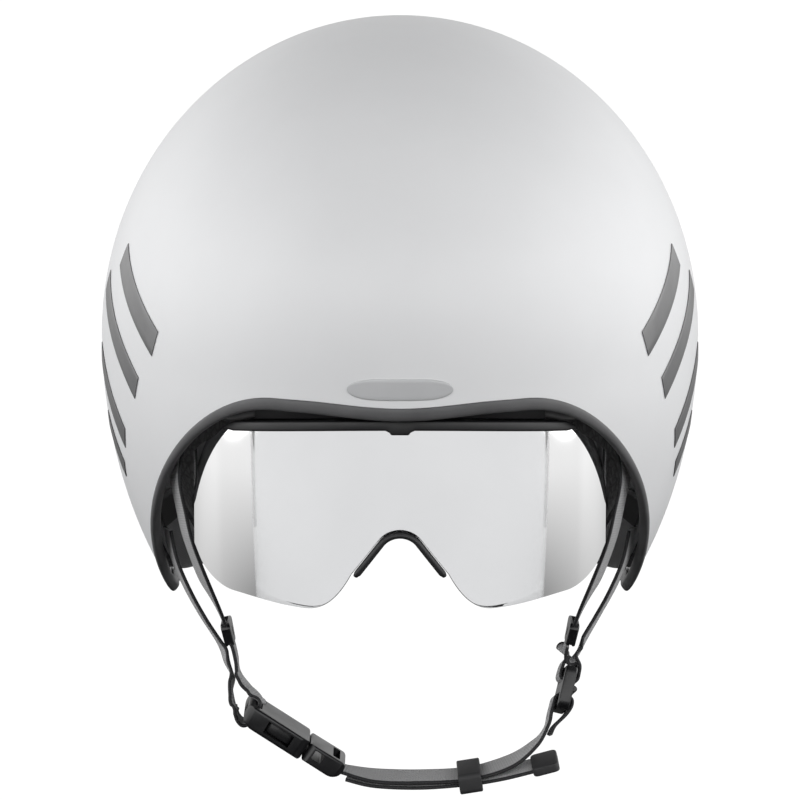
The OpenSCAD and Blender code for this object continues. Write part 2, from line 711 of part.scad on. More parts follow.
outer_shell();
eps_liner();
face_trim();
nape_trim();
brow_badge();
stripes_left();
stripes_right();
visor_dock();
dock_magnets();
lobe_lining_left();
lobe_lining_right();
brow_pad();
crown_pad();
temple_pad_left();
temple_pad_right();
cheek_pad_left();
cheek_pad_right();
front_anchor_left();
front_anchor_right();
rear_anchor_left();
rear_anchor_right();
webbing_front_left();
webbing_front_right();
webbing_rear_left();
webbing_rear_right();
divider_left();
divider_right();
webbing_lower_left();
webbing_lower_right();
ladder_lock();
buckle_socket();
cradle_housing();
cradle_cover();
nape_pad_left();
nape_pad_right();
band_pin_left();
band_pin_right();
band_left();
band_right();
visor_lens();
visor_frame();
visor_magnets();
nose_bumper();
dial_knob();
dial_pinion();
rack_left();
rack_right();
buckle_plug();
prong_front();
prong_rear();
chin_webbing();
strap_tail();
end_tab();
strap_keeper();
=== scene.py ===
import json
import math
import bpy
import bmesh
import numpy as np
from mathutils import Matrix, Vector


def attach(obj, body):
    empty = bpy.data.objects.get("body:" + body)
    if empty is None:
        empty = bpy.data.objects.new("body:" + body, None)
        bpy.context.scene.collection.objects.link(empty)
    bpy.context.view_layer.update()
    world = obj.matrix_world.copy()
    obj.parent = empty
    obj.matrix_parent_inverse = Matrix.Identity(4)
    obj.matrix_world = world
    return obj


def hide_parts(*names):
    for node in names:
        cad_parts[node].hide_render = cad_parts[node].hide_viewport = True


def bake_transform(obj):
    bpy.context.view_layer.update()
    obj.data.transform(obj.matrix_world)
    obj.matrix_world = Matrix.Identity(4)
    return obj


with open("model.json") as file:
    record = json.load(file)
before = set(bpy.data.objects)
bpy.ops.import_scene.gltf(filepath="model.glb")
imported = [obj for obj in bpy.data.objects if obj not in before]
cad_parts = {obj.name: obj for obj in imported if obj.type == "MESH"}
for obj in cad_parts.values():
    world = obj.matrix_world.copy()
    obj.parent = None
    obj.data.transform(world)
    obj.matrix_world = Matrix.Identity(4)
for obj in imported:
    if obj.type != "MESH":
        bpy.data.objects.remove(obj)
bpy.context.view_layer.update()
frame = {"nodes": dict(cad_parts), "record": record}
nodes = frame["nodes"]

# ------------------------------------------------------------------ surfaces, in millimetres
# Angles are in degrees: f goes round from the front, t down from the top. The mesh makers turn mm into metres.
C = np.array([0.0, 30.0, 22.0])
SHELL_T, LINER_GAP = 1.6, 1.1
SHELL_SIDE, SHELL_AHEAD, SHELL_BEHIND, SHELL_ABOVE, SHELL_BELOW = 113, 156, 122, 120, 151
HEAD_SIDE, HEAD_LONG, HEAD_ABOVE, HEAD_BELOW = 80.5, 102, 107.5, 150
ARC_X, ARC_R, ARC_SQ, LEG_SLOPE = 8.2, 10.4, 108.16, 1.28
LENS_LOW = -60.5
WEB_WIDE, WEB_THICK = 15.0, 1.3
FLOOR_Z = -0.30
CAMERA_AWAY, CAMERA_UP = 2, 8


def rad(a):
    return np.radians(a)


def smooth(t):
    u = np.clip(t, 0.0, 1.0)
    return u * u * (3 - 2 * u)


def fold(f):
    g = np.mod(f, 360.0)
    return np.where(g > 180, 360 - g, g)


def aim(f, t):
    f, t = np.broadcast_arrays(np.asarray(f, float), np.asarray(t, float))
    return np.stack([np.sin(rad(t)) * np.sin(rad(f)), -np.sin(rad(t)) * np.cos(rad(f)), np.cos(rad(t))], -1)


def shell_r(f, t):
    d, g = aim(f, t), fold(np.asarray(f, float))
    x, y, z = d[..., 0], d[..., 1], d[..., 2]
    e = 1 / np.sqrt((x / SHELL_SIDE) ** 2 + (y / np.where(y < 0, SHELL_AHEAD, SHELL_BEHIND)) ** 2
                    + (z / np.where(z > 0, SHELL_ABOVE, SHELL_BELOW)) ** 2)
    tuck = np.where(g < 90, 0.04 * smooth((t - 70) / 23) * np.cos(rad(g)) ** 2, 0)
    back = np.maximum(0, y * math.cos(rad(4)) - z * math.sin(rad(4)))
    r = e * (1 - tuck) + 26 * back ** 6
    cut = (136 - 0.16 * r * z) / np.maximum(y, 0.3)
    return np.where(y > 0.3, -3 * np.log(np.exp(-r / 3) + np.exp(-cut / 3)), r)


def rim(f):
    g = fold(f)
    return 92.4 + 0.7 * (1 - smooth(g / 14)) + 44.6 * smooth((g - 18) / 68) - 31 * smooth((g - 92) / 70)


def on_shell(f, t, off):
    return C + (shell_r(f, t) + off)[..., None] * aim(f, t)


def ray(d, a, b, c):
    p = (d[..., 0] / a) ** 2 + (d[..., 1] / b) ** 2 + (d[..., 2] / c) ** 2
    q = C[1] * d[..., 1] / b ** 2 + C[2] * d[..., 2] / c ** 2
    k = (C[1] / b) ** 2 + (C[2] / c) ** 2 - 1
    return (-q + np.sqrt(q * q - p * k)) / p


def inner_r(f, t):
    d, g = aim(f, t), fold(np.asarray(f, float))
    up = ray(d, HEAD_SIDE, HEAD_LONG, HEAD_ABOVE)
    r = np.where(C[2] + up * d[..., 2] >= 0, up, ray(d, HEAD_SIDE, HEAD_LONG, HEAD_BELOW))
    return r + 9 * np.exp(-((g - 76) / 15) ** 2 - ((t - 116) / 11) ** 2)


def on_inner(f, t, off):
    return C + (inner_r(f, t) - off)[..., None] * aim(f, t)


def liner_edge(f):
    g = fold(f)
    return 91.5 + 44.5 * smooth((g - 28) / 62) - 40 * smooth((g - 92) / 70)


def liner_inner_edge(f):
    g = fold(f)
    return liner_edge(f) + 5 * smooth((g - 60) / 30) * (1 - smooth((g - 110) / 40)) - 2 * smooth((g
            - 135) / 25)


def on_face(f, w, down):
    f, w = np.broadcast_arrays(np.asarray(f, float), np.asarray(w, float))
    a, b = liner_edge(f), liner_inner_edge(f)
    r = (shell_r(f, a) - SHELL_T - LINER_GAP) * (1 - w) + inner_r(f, b) * w
    return C + r[..., None] * aim(f, a + (b - a) * w + down)


LENS_A, LENS_B, MID_Y, HALF, NOSE = 79.0, 75.5, -38.0, 75.0, 17.5


def on_lens(s, off, z):
    s, off, z = np.broadcast_arrays(np.asarray(s, float), np.asarray(off, float), np.asarray(z, float))
    return np.stack([(LENS_A + off) * np.sin(rad(s)),
                     MID_Y - (LENS_B + off) * np.cos(rad(s)) + 0.0012 * np.minimum(0, z + 12) ** 2, z], -1)


def lens_s(x):
    return np.degrees(np.arcsin(np.asarray(x, float) / LENS_A))


def nose_z(a):
    """Height of the nose arch: an arc of radius ARC_R, then straight legs."""
    a = np.asarray(a, float)
    arc_drop = ARC_R - np.sqrt(ARC_SQ - np.minimum(a, ARC_X) ** 2)
    return -31.2 - np.where(a < ARC_X, arc_drop, 4 + LEG_SLOPE * (a - ARC_X))


def in_arch(x, w):
    m = -x / math.sqrt(ARC_SQ - x * x) if abs(x) < ARC_X else -LEG_SLOPE * math.copysign(1, x)
    q = w / math.sqrt(1 + m * m)
    return [x + q * m, float(nose_z(abs(x))) - q]


def lens_bottom(x):
    a = np.abs(x)
    rest = (LENS_LOW + (float(nose_z(NOSE)) - LENS_LOW) * (1 - np.clip((a - NOSE) / 17, 0, 1)) ** 2.4 + 3.5
            * smooth((a - 33) / 34)
            + 11 * (np.maximum(0, a - 60) / 15) ** 2)
    return np.where(a < NOSE, nose_z(a), rest)


def lens_upper(x):
    a = np.abs(x)
    return 7.8 - 3.8 * (a / 60) ** 2 - 9 * smooth((a - 58) / 17)


# ------------------------------------------------------------------ mesh makers
def new_mesh(name, verts, faces, uvs=None, smooth_shade=True):
    me = bpy.data.meshes.new(name)
    me.from_pydata([tuple(v) for v in np.asarray(verts) / 1000.0], [], faces)
    if smooth_shade:
        me.shade_smooth()
    if uvs is not None:
        layer = me.uv_layers.new(name="UVMap")
        flat = np.array([uvs[i] for p in me.polygons for i in p.vertices], np.float32)
        layer.data.foreach_set("uv", flat.ravel())
    me.validate()
    ob = bpy.data.objects.new(name, me)
    bpy.context.scene.collection.objects.link(ob)
    return ob


def loft(name, rings, closed=False, uv=None, sharp=None):
    """Rings of the same point count, (m, n, 3). Open lofts are capped by pairing the two sides of a ring."""
    rings = np.asarray(rings, float)
    m, n = rings.shape[:2]
    faces = []
    for i in range(m if closed else m - 1):
        a, b = i * n, ((i + 1) % m) * n
        for j in range(n):
            k = (j + 1) % n
            faces.append((a + j, b + j, b + k, a + k))
    if not closed:
        for k in range(n // 2 - 1):
            faces.append((k, k + 1, n - 2 - k, n - 1 - k))
            e = (m - 1) * n
            faces.append((e + n - 1 - k, e + n - 2 - k, e + k + 1, e + k))
    uvs = None if uv is None else np.asarray(uv, float).reshape(-1, 2)
    ob = new_mesh(name, rings.reshape(-1, 3), faces, uvs)
    if sharp:
        crease(ob, sharp)
    return ob


def crease(ob, degrees):
    """Marks the edges that turn by more than this angle as sharp."""
    bm = bmesh.new()
    bm.from_mesh(ob.data)
    for e in bm.edges:
        if len(e.link_faces) == 2 and e.calc_face_angle(0) > math.radians(degrees):
            e.smooth = False
    bm.to_mesh(ob.data)
    bm.free()


def bowl(name, rings, top, under):
    rings = np.asarray(rings, float)
    m, n = rings.shape[:2]
    verts = np.concatenate([[top], rings.reshape(-1, 3), [under]])
    faces = [(0, 1 + j, 1 + (j + 1) % n) for j in range(n)]
    for i in range(m - 1):
        a, b = 1 + i * n, 1 + (i + 1) * n
        for j in range(n):
            k = (j + 1) % n
            faces.append((a + j, b + j, b + k, a + k))
    e = 1 + (m - 1) * n
    faces += [(e + (j + 1) % n, e + j, m * n + 1) for j in range(n)]
    return new_mesh(name, verts, faces)


def catmull(p, n):
    p = np.asarray(p, float)
    q = np.concatenate([[p[0]], p, [p[-1]]])
    out = []
    for i in range(1, len(q) - 2):
        a, b, c, d = q[i - 1], q[i], q[i + 1], q[i + 2]
        for k in range(n):
            t = k / n
            out.append(0.5 * (2 * b + (c - a) * t + (2 * a - 5 * b + 4 * c - d) * t * t
                              + (3 * b - a - 3 * c + d) * t ** 3))
    out.append(p[-1])
    return np.array(out)


def unit(v):
    return v / np.maximum(1e-9, np.linalg.norm(v, axis=-1, keepdims=True))


def strap(name, p, w, n=12, wide=WEB_WIDE, thick=WEB_THICK):
    """Woven strap with rounded selvedges. UV is in millimetres: across, then along."""
    q, v = catmull(p, n), catmull(w, n)
    tan = unit(np.gradient(q, axis=0))
    u = unit(v - (v * tan).sum(-1, keepdims=True) * tan)
    z = np.cross(u, tan)
    along = np.concatenate([[0], np.cumsum(np.linalg.norm(np.diff(q, axis=0), axis=1))])
    h, k = wide / 2, thick / 2
    prof = [(-h + 0.9, -k), (-h * 0.5, -k), (0, -k), (h * 0.5, -k), (h - 0.9, -k), (h - 0.25, -k * 0.72),
            (h, -k * 0.2),
            (h, k * 0.2), (h - 0.25, k * 0.72), (h - 0.9, k), (h * 0.5, k), (0, k), (-h * 0.5, k),
            (-h + 0.9, k),
            (-h + 0.25, k * 0.72), (-h, k * 0.2), (-h, -k * 0.2), (-h + 0.25, -k * 0.72)]
    rings, uvs = [], []
    for i in range(len(q)):
        rings.append([q[i] + u[i] * a + z[i] * b for a, b in prof])
        uvs.append([(a, along[i]) for a, b in prof])
    return loft(name, rings, uv=uvs)


def rounded(name, lo, hi, plan=2.0, edge=0.6, axis=2, seg=5):
    """A block with rounded corners in plan, seen along the axis, and softened edges."""
    bm = bmesh.new()
    bmesh.ops.create_cube(bm, size=1.0)
    lo, hi = np.array(lo, float), np.array(hi, float)
    for v in bm.verts:
        for k in range(3):
            v.co[k] = lo[k] + (v.co[k] + 0.5) * (hi[k] - lo[k])
    up = [e for e in bm.edges if abs((e.verts[0].co - e.verts[1].co)[axis]) > 1e-6]
    bmesh.ops.bevel(bm, geom=up, offset=plan, segments=seg, affect="EDGES", profile=0.5)
    if edge > 0:
        sharp = [e for e in bm.edges if len(e.link_faces) == 2 and e.calc_face_angle(0) > 1.2]
        bmesh.ops.bevel(bm, geom=sharp, offset=edge, segments=3, affect="EDGES", profile=0.5)
    for v in bm.verts:
        v.co /= 1000.0
    me = bpy.data.meshes.new(name)
    bm.to_mesh(me)
    bm.free()
    ob = bpy.data.objects.new(name, me)
    bpy.context.scene.collection.objects.link(ob)
    return ob


def rod(name, a, b, r, n=32):
    a, b = np.array(a, float), np.array(b, float)
    t = unit(b - a)
    s = unit(np.cross(t, [0.3, 0.5, 0.81]))
    w = np.cross(t, s)
    ring = [s * math.cos(k * 2 * math.pi / n) + w * math.sin(k * 2 * math.pi / n) for k in range(n)]
    soft = min(0.35, r * 0.3)
    rings = [[c + x * q for x in ring] for c, q in
             ((a, r - soft), (a + t * soft, r), (b - t * soft, r), (b, r - soft))]
    return loft(name, rings)


def carve(ob, cutters, mode="DIFFERENCE"):
    """Applies booleans to ob and removes the cutters."""
    for c in cutters:
        mod = ob.modifiers.new("cut", "BOOLEAN")
        mod.operation, mod.object, mod.solver = mode, c, "EXACT"
    dg = bpy.context.evaluated_depsgraph_get()
    me = bpy.data.meshes.new_from_object(ob.evaluated_get(dg))
    ob.modifiers.clear()
    ob.data = me
    for c in cutters:
        bpy.data.objects.remove(c)
    return ob


def finish_hard(ob, angle=30):
    ob.data.shade_smooth()
    crease(ob, angle)
    return ob


def place(ob, m):
    ob.data.transform(m)
    return ob


def mirrored(ob, name):
    me = ob.data.copy()
    me.transform(Matrix.Scale(-1, 4, (1, 0, 0)))
    me.flip_normals()
    o = bpy.data.objects.new(name, me)
    bpy.context.scene.collection.objects.link(o)
    return o


# ------------------------------------------------------------------ materials
def tree(name):
    m = bpy.data.materials.new(name)
    m.use_nodes = True
    nt = m.node_tree
    nt.nodes.clear()
    out = nt.nodes.new("ShaderNodeOutputMaterial")
    bsdf = nt.nodes.new("ShaderNodeBsdfPrincipled")
    nt.links.new(bsdf.outputs[0], out.inputs[0])
    return m, nt, bsdf


def coords(nt, kind="Object"):
    n = nt.nodes.new("ShaderNodeTexCoord")
    return n.outputs[kind]


def noise(nt, vec, scale, detail=4.0, rough=0.55):
    n = nt.nodes.new("ShaderNodeTexNoise")
    n.inputs["Scale"].default_value = scale
    n.inputs["Detail"].default_value = detail
    n.inputs["Roughness"].default_value = rough
    nt.links.new(vec, n.inputs["Vector"])
    return n.outputs["Fac"]


def ramp(nt, fac, stops):
    n = nt.nodes.new("ShaderNodeValToRGB")
    el = n.color_ramp.elements
    while len(el) < len(stops):
        el.new(0.5)
    for e, (p, c) in zip(el, stops):
        e.position = p
        e.color = (*c, 1) if len(c) == 3 else c
    nt.links.new(fac, n.inputs[0])
    return n.outputs[0]


def span(nt, fac, lo, hi, a=0.0, b=1.0):
    n = nt.nodes.new("ShaderNodeMapRange")
    for i, v in zip(("From Min", "From Max", "To Min", "To Max"), (a, b, lo, hi)):
        n.inputs[i].default_value = v
    nt.links.new(fac, n.inputs["Value"])
    return n.outputs["Result"]


def maths(nt, op, a, b=None, c=None):
    n = nt.nodes.new("ShaderNodeMath")
    n.operation = op
    for i, v in enumerate((a, b, c)):
        if v is None:
            continue
        if isinstance(v, (int, float)):
            n.inputs[i].default_value = v
        else:
            nt.links.new(v, n.inputs[i])
    return n.outputs[0]


def bump(nt, bsdf, height, strength, distance):
    n = nt.nodes.new("ShaderNodeBump")
    n.inputs["Strength"].default_value = strength
    n.inputs["Distance"].default_value = distance
    nt.links.new(height, n.inputs["Height"])
    nt.links.new(n.outputs[0], bsdf.inputs["Normal"])


def tint(nt, bsdf, fac, dark, light, a=0.3, b=0.7):
    nt.links.new(ramp(nt, fac, [(a, dark), (b, light)]), bsdf.inputs["Base Color"])


def moulded(name, dark, light, rough=(0.35, 0.5), grain=900.0, strength=0.12, coat=0.0, depth=0.0001):
    """Moulded plastic or rubber: fine grain, cloudy colour and uneven gloss."""
    m, nt, b = tree(name)
    v = coords(nt)
    tint(nt, b, noise(nt, v, 60, 5), dark, light)
    nt.links.new(span(nt, noise(nt, v, 35, 6, 0.65), rough[0], rough[1], 0.3, 0.7), b.inputs["Roughness"])
    b.inputs["Coat Weight"].default_value = coat
    b.inputs["Coat Roughness"].default_value = 0.12
    bump(nt, b, noise(nt, v, grain, 3), strength, depth)
    return m


def shell_paint():
    m, nt, b = tree("shell_paint")
    v = coords(nt)
    tint(nt, b, noise(nt, v, 14, 4), (0.74, 0.745, 0.755), (0.775, 0.78, 0.79))
    nt.links.new(span(nt, noise(nt, v, 24, 6, 0.6), 0.4, 0.5, 0.3, 0.7), b.inputs["Roughness"])
    b.inputs["IOR"].default_value = 1.45
    b.inputs["Coat Weight"].default_value = 0.12
    b.inputs["Coat Roughness"].default_value = 0.28
    peel = maths(nt, "ADD", noise(nt, v, 420, 2), maths(nt, "MULTIPLY", noise(nt, v, 60, 3), 0.6))
    bump(nt, b, peel, 0.05, 0.00012)
    return m


def foam():
    m, nt, b = tree("bead_foam")
    v = coords(nt)
    n = nt.nodes.new("ShaderNodeTexVoronoi")
    n.feature = "DISTANCE_TO_EDGE"
    n.inputs["Scale"].default_value = 320
    nt.links.new(v, n.inputs["Vector"])
    edge = span(nt, n.outputs["Distance"], 0, 1, 0.0, 0.25)
    tint(nt, b, edge, (0.012, 0.012, 0.013), (0.045, 0.045, 0.047), 0.0, 0.8)
    nt.links.new(span(nt, noise(nt, v, 200, 3), 0.55, 0.8), b.inputs["Roughness"])
    bump(nt, b, edge, 0.35, 0.0004)
    return m


def cloth(name, dark, light, pitch=0.9, rough=(0.8, 0.95), relief=0.5):
    """Knitted or brushed lining cloth, in object space so that it needs no UV."""
    m, nt, b = tree(name)
    v = coords(nt)
    s = nt.nodes.new("ShaderNodeSeparateXYZ")
    nt.links.new(v, s.inputs[0])
    k = 2 * math.pi / (pitch / 1000.0)
    a = maths(nt, "SINE", maths(nt, "MULTIPLY", maths(nt, "ADD", s.outputs[0], s.outputs[1]), k))
    c = maths(nt, "SINE", maths(nt, "MULTIPLY", maths(nt, "SUBTRACT", s.outputs[2], s.outputs[1]), k))
    weave = span(nt, maths(nt, "MULTIPLY", a, c), 0, 1, -1, 1)
    fuzz = noise(nt, v, 1400, 3)
    mix = maths(nt, "ADD", maths(nt, "MULTIPLY", weave, 0.6), maths(nt, "MULTIPLY", fuzz, 0.5))
    tint(nt, b, maths(nt, "ADD", maths(nt, "MULTIPLY", mix, 0.6),
                      maths(nt, "MULTIPLY", noise(nt, v, 40, 4), 0.4)), dark, light, 0.25, 0.75)
    nt.links.new(span(nt, fuzz, rough[0], rough[1]), b.inputs["Roughness"])
    b.inputs["Sheen Weight"].default_value = 0.35
    b.inputs["Sheen Roughness"].default_value = 0.4
    bump(nt, b, mix, relief, 0.0003)
    return m


def webbing():
    """Polyester webbing: V-shaped ribs, darker selvedges and fine yarn relief. UV in millimetres."""
    m, nt, b = tree("webbing_weave")
    v = coords(nt, "UV")
    s = nt.nodes.new("ShaderNodeSeparateXYZ")
    nt.links.new(v, s.inputs[0])
    x, y = s.outputs[0], s.outputs[1]
    ax = maths(nt, "ABSOLUTE", x)
    row = maths(nt, "SINE", maths(nt, "MULTIPLY", maths(nt, "ADD", y,
                                                        maths(nt, "MULTIPLY",
                                                                maths(nt, "PINGPONG", x, 1.25), 0.55)),
                                  2 * math.pi / 1.05))
    col = maths(nt, "SINE", maths(nt, "MULTIPLY", x, 2 * math.pi / 1.25))
    weave = span(nt, maths(nt, "ADD", maths(nt, "MULTIPLY", row, 0.6), maths(nt, "MULTIPLY", col, 0.4)), 0,
                 1, -1, 1)
    obj = coords(nt)
    yarn = noise(nt, obj, 2200, 3)
    dirt = noise(nt, obj, 55, 4)
    mix = maths(nt, "ADD", maths(nt, "MULTIPLY", weave, 0.55),
                maths(nt, "ADD", maths(nt, "MULTIPLY", yarn, 0.25), maths(nt, "MULTIPLY", dirt, 0.2)))
    body = ramp(nt, mix, [(0.15, (0.20, 0.20, 0.205)), (0.5, (0.36, 0.36, 0.365)),
                          (0.85, (0.50, 0.50, 0.505))])
    rimc = ramp(nt, mix, [(0.2, (0.005, 0.005, 0.006)), (0.8, (0.02, 0.02, 0.022))])
    edge = span(nt, ax, 0, 1, 6.0, 6.5)
    mx = nt.nodes.new("ShaderNodeMix")
    mx.data_type = "RGBA"
    nt.links.new(edge, mx.inputs[0])
    nt.links.new(body, mx.inputs[6])
    nt.links.new(rimc, mx.inputs[7])
    nt.links.new(mx.outputs[2], b.inputs["Base Color"])
    nt.links.new(span(nt, yarn, 0.62, 0.85), b.inputs["Roughness"])
    b.inputs["Sheen Weight"].default_value = 0.06
    b.inputs["Sheen Roughness"].default_value = 0.35
    bump(nt, b, mix, 0.7, 0.00035)
    return m


def lens_glass():
    m, nt, b = tree("clear_lens")
    v = coords(nt)
    tint(nt, b, noise(nt, v, 18, 3), (0.68, 0.685, 0.695), (0.715, 0.72, 0.73))
    nt.links.new(span(nt, noise(nt, v, 40, 5), 0.015, 0.04, 0.3, 0.7), b.inputs["Roughness"])
    b.inputs["Transmission Weight"].default_value = 1.0
    b.inputs["IOR"].default_value = 1.45
    bump(nt, b, noise(nt, v, 12, 2), 0.02, 0.0002)
    return m


def metal():
    m, nt, b = tree("nickel")
    v = coords(nt)
    tint(nt, b, noise(nt, v, 80, 4), (0.5, 0.5, 0.51), (0.62, 0.62, 0.63))
    nt.links.new(span(nt, noise(nt, v, 300, 5), 0.22, 0.4), b.inputs["Roughness"])
    b.inputs["Metallic"].default_value = 1.0
    bump(nt, b, noise(nt, v, 900, 2), 0.1, 0.00005)
    return m


MAT = {
    "shell": shell_paint(),
    "foam": foam(),
    "trim": moulded("trim_rubber", (0.075, 0.075, 0.077), (0.105, 0.105, 0.108), (0.42, 0.58), 1500, 0.15),
    "badge": moulded("badge_plate", (0.50, 0.505, 0.515), (0.54, 0.545, 0.555), (0.3, 0.4), 700, 0.05, 0.2),
    "stripe": moulded("graphite_vinyl", (0.03, 0.03, 0.032), (0.05, 0.05, 0.053), (0.28, 0.4), 900, 0.08,
                      0.3),
    "black_plastic": moulded("black_plastic", (0.006, 0.006, 0.007), (0.012, 0.012, 0.013), (0.35, 0.5),
                             1300, 0.2),
    "buckle": moulded("acetal_black", (0.006, 0.006, 0.007), (0.012, 0.012, 0.013), (0.28, 0.42), 1100, 0.12),
    "soft_rubber": moulded("soft_rubber", (0.02, 0.02, 0.021), (0.032, 0.032, 0.034), (0.55, 0.72), 1700,
                           0.25),
    "nose_rubber": moulded("nose_rubber", (0.016, 0.016, 0.017), (0.028, 0.028, 0.03), (0.5, 0.66), 1500,
                           0.2),
    "dial": moulded("dial_rubber", (0.02, 0.02, 0.021), (0.034, 0.034, 0.036), (0.5, 0.65), 1500, 0.25),
    "pad": cloth("pad_cloth", (0.012, 0.012, 0.013), (0.05, 0.05, 0.053), 0.9),
    "lining": cloth("lining_cloth", (0.10, 0.10, 0.103), (0.2, 0.2, 0.205), 1.1),
    "webbing": webbing(),
    "lens": lens_glass(),
    "magnet": metal(),
}


def dress(ob, slot, body="helmet", replaces=()):
    ob.data.materials.clear()
    ob.data.materials.append(MAT[slot])
    if body:
        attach(ob, body)
    if replaces:
        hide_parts(*replaces)
    return ob


# ------------------------------------------------------------------ shell, liner, trim
F = np.arange(0, 360, 1.25)
rows = np.concatenate([np.linspace(0.012, 0.9, 70), np.linspace(0.91, 1.0, 14)])
edge = rim(F) + 1.4
outer = [on_shell(F, s * edge, 0) for s in rows]
inner = [on_shell(F, s * edge, -SHELL_T) for s in rows[::-1]]
top = on_shell(np.array([0.0]), np.array([0.0]), 0)[0]
shell = bowl("shell_skin", outer + inner, top, top - [0, 0, SHELL_T])
crease(shell, 50)
dress(shell, "shell", replaces=["outer_shell"])

lrows = np.concatenate([np.linspace(0.015, 0.9, 44), np.linspace(0.92, 1.0, 7)])
FL = np.arange(0, 360, 2.0)
lo_ = [on_shell(FL, s * liner_edge(FL), -SHELL_T - LINER_GAP) for s in lrows]
li_ = []
for s in lrows[::-1]:
    t = s * liner_inner_edge(FL)
    # moulded channels run front to back inside the liner
    q = on_inner(FL, t, 0)
    ch = np.exp(-((np.abs(q[..., 0]) - 34) / 3.5) ** 2) * smooth((q[..., 2] - 20) / 25)
    li_.append(on_inner(FL, t, -3.0 * ch))
face_rows = [on_face(FL, w, 0) for w in (0.08, 0.25, 0.5, 0.75, 0.92)]
liner = bowl("foam_liner", lo_ + face_rows + li_, on_shell(np.array([0.0]), np.array([0.0]),
                                                           -SHELL_T - LINER_GAP)[0],
             on_inner(np.array([0.0]), np.array([0.0]), 0)[0])
crease(liner, 40)
dress(liner, "foam", replaces=["eps_liner"])

TRIM = [(0.10, 0.32), (0.04, 0.62), (0.10, 0.92), (0.28, 1.12), (0.7, 1.22), (1.1, 1.22), (1.45, 1.1),
        (1.7, 0.8), (1.84, 0.3),
        (1.9, -0.4), (1.9, -1.2), (1.84, -2.0), (1.7, -2.6), (1.45, -2.92), (1.0, -3.02), (0.4, -3.02),
        (-0.05, -2.96), (-0.2, -2.8),
        (-0.2, -2.1), (-0.05, -1.92), (0.5, -1.9), (1.2, -1.9), (1.5, -1.85), (1.5, -1.2), (1.5, -0.4),
        (1.5, 0.25), (1.3, 0.3), (0.6, 0.3)]


def trim(name, f0, f1, step=1.25):
    fs = np.linspace(f0, f1, int(round((f1 - f0) / step)) + 1)
    m = rim(fs)
    rings = np.stack([on_shell(fs, m + a, b * np.ones_like(fs)) for a, b in TRIM[::-1]], 1)
    return loft(name, rings, sharp=60)


dress(trim("rim_trim_front", -95, 95), "trim", replaces=["face_trim"])
dress(trim("rim_trim_nape", 100, 260), "trim", replaces=["nape_trim"])

# blank badge, softly crowned, in a shallow step
us = np.linspace(-1, 1, 61)
rings = []
for u in us:
    f = 7.2 * math.sin(u * math.pi / 2)
    h = 1.45 * (max(0, 1 - abs(f / 7.2) ** 4)) ** 0.5 + 0.02
    prof = [(h, 0.1), (h, 0.32), (h * 0.93, 0.45), (h * 0.6, 0.48), (0, 0.49), (-h * 0.6, 0.48),
            (-h * 0.93, 0.45), (-h, 0.32), (-h, 0.1), (0, 0.1)]
    rings.append([on_shell(np.array([f]), np.array([90.6 + a]), np.array([b]))[0] for a, b in prof])
badge = loft("brow_badge_plate", np.array(rings), sharp=70)
dress(badge, "badge", replaces=["brow_badge"])


def stripe(f0, t0, long, wide):
    n = int(long / 0.7)
    w = np.linspace(0, 1, n + 1)
    f, t = f0 + long * w, t0 - 0.7 * long * w
    rings = []
    for i in range(n + 1):
        prof = [(0.5, 0.10), (0.5, 0.30), (0.47, 0.37), (0.25, 0.38), (0, 0.38), (-0.25, 0.38),
                (-0.47, 0.37), (-0.5, 0.30), (-0.5, 0.10), (0, 0.10)]
        rings.append([on_shell(np.array([f[i] + 2.2 * a]), np.array([t[i] + wide * a]),
                               np.array([b]))[0] for a, b in prof])
    return np.array(rings)


def join(name, obs):
    bm = bmesh.new()
    for o in obs:
        bm.from_mesh(o.data)
        bpy.data.objects.remove(o)
    me = bpy.data.meshes.new(name)
    bm.to_mesh(me)
    bm.free()
    ob = bpy.data.objects.new(name, me)
    bpy.context.scene.collection.objects.link(ob)
    return ob


right = join("racing_stripes_right", [loft("s%d" % i, stripe(*a), sharp=50) for i, a in enumerate(
    ((44.2, 86.8, 20, 4.2), (51.8, 95.2, 24, 4), (61.6, 105.8, 19, 3.9), (67.5, 112.6, 11, 3.3)))])
left = mirrored(right, "racing_stripes_left")
dress(right, "stripe", replaces=["stripes_right"])
dress(left, "stripe", replaces=["stripes_left"])

# ------------------------------------------------------------------ visor
xs = np.concatenate([np.linspace(0, NOSE, 32), np.linspace(NOSE, HALF, 80)[1:]])
xs = np.concatenate([-xs[:0:-1], xs])
S = lens_s(xs)
lo_z, hi_z = lens_bottom(xs), lens_upper(xs)
corner = smooth((np.abs(xs) - 70) / 5.0)
hi_z = hi_z - 2.5 * corner ** 2
lo_z = lo_z + 2.0 * corner ** 2
v_ = np.linspace(0, 1, 25)
zg = lo_z[:, None] + (hi_z - lo_z)[:, None] * v_[None]
front = on_lens(S[:, None], 0.0 * zg, zg)
backf = on_lens(S[:, None], -2.0 + 0.0 * zg, zg)
mid_lo = on_lens(S, -1.0 + 0 * S, lo_z - 0.25)[:, None]
mid_hi = on_lens(S, -1.0 + 0 * S, hi_z + 0.2)[:, None]
rings = np.concatenate([front, mid_hi, backf[:, ::-1], mid_lo], 1)
lens = loft("visor_lens_clear", rings[:, ::-1], sharp=35)
dress(lens, "lens", "visor", ["visor_lens"])

